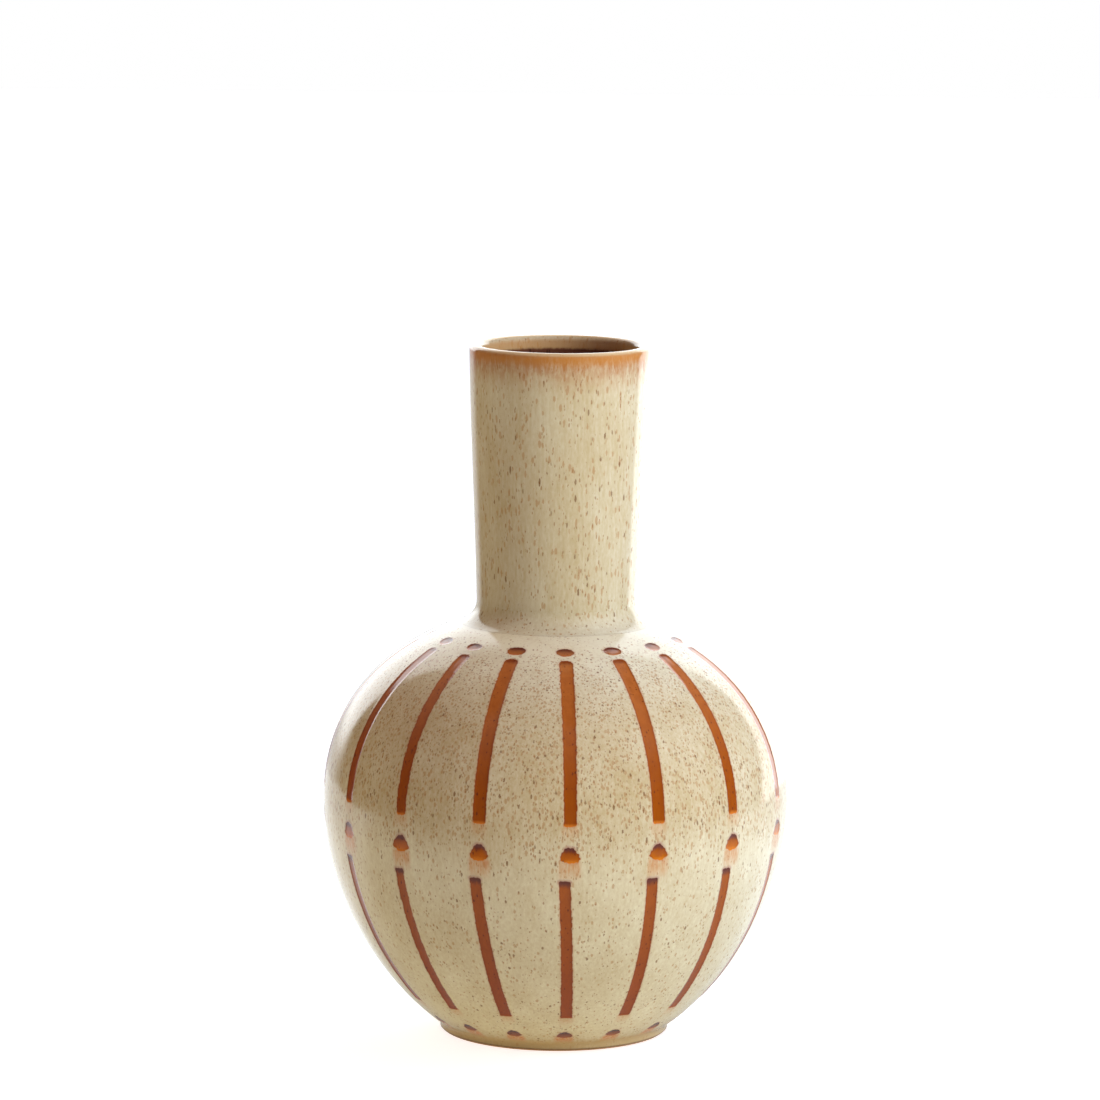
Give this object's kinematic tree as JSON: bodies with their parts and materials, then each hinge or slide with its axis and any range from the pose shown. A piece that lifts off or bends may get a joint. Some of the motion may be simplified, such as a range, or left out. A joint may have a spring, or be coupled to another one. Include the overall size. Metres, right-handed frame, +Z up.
{
  "type": "stoneware pottery vase",
  "caption": "Round-bellied stoneware bottle vase with a long flared neck, a rounded lip, a low turned foot and pressed hollows filled with amber glaze down its belly.",
  "frame": {"origin": "middle of the plane that the foot ring stands on", "axes": "+Z up along the vase's turning axis, -Y towards the front, where one row of inlays lies 3.5 degrees towards +X"},
  "size_m": [0.2018, 0.202, 0.3],
  "materials": {
    "cream_glaze": "glossy cream glaze with brown iron speckle",
    "neck_glaze": "glossy cream glaze with iron speckle, a rust band at the lip and a dark brown liner glaze inside",
    "bead_glaze": "glossy, the glaze pools slightly clearer in the joint",
    "amber_glaze": "thick glossy amber glaze, darker at the upper ends",
    "foot_clay": "bare matt stoneware clay"
  },
  "bodies": {
    "root": {"belly": "cream_glaze", "neck": "neck_glaze", "luting_bead": "bead_glaze", "foot_ring": "foot_clay", "upper_stroke_01": "amber_glaze", "upper_stroke_02": "amber_glaze", "upper_stroke_03": "amber_glaze", "upper_stroke_04": "amber_glaze", "upper_stroke_05": "amber_glaze", "upper_stroke_06": "amber_glaze", "upper_stroke_07": "amber_glaze", "upper_stroke_08": "amber_glaze", "upper_stroke_09": "amber_glaze", "upper_stroke_10": "amber_glaze", "upper_stroke_11": "amber_glaze", "upper_stroke_12": "amber_glaze", "upper_stroke_13": "amber_glaze", "upper_stroke_14": "amber_glaze", "upper_stroke_15": "amber_glaze", "upper_stroke_16": "amber_glaze", "waist_drop_01": "amber_glaze", "waist_drop_02": "amber_glaze", "waist_drop_03": "amber_glaze", "waist_drop_04": "amber_glaze", "waist_drop_05": "amber_glaze", "waist_drop_06": "amber_glaze", "waist_drop_07": "amber_glaze", "waist_drop_08": "amber_glaze", "waist_drop_09": "amber_glaze", "waist_drop_10": "amber_glaze", "waist_drop_11": "amber_glaze", "waist_drop_12": "amber_glaze", "waist_drop_13": "amber_glaze", "waist_drop_14": "amber_glaze", "waist_drop_15": "amber_glaze", "waist_drop_16": "amber_glaze", "lower_stroke_01": "amber_glaze", "lower_stroke_02": "amber_glaze", "lower_stroke_03": "amber_glaze", "lower_stroke_04": "amber_glaze", "lower_stroke_05": "amber_glaze", "lower_stroke_06": "amber_glaze", "lower_stroke_07": "amber_glaze", "lower_stroke_08": "amber_glaze", "lower_stroke_09": "amber_glaze", "lower_stroke_10": "amber_glaze", "lower_stroke_11": "amber_glaze", "lower_stroke_12": "amber_glaze", "lower_stroke_13": "amber_glaze", "lower_stroke_14": "amber_glaze", "lower_stroke_15": "amber_glaze", "lower_stroke_16": "amber_glaze"}
  },
  "joints": []
}
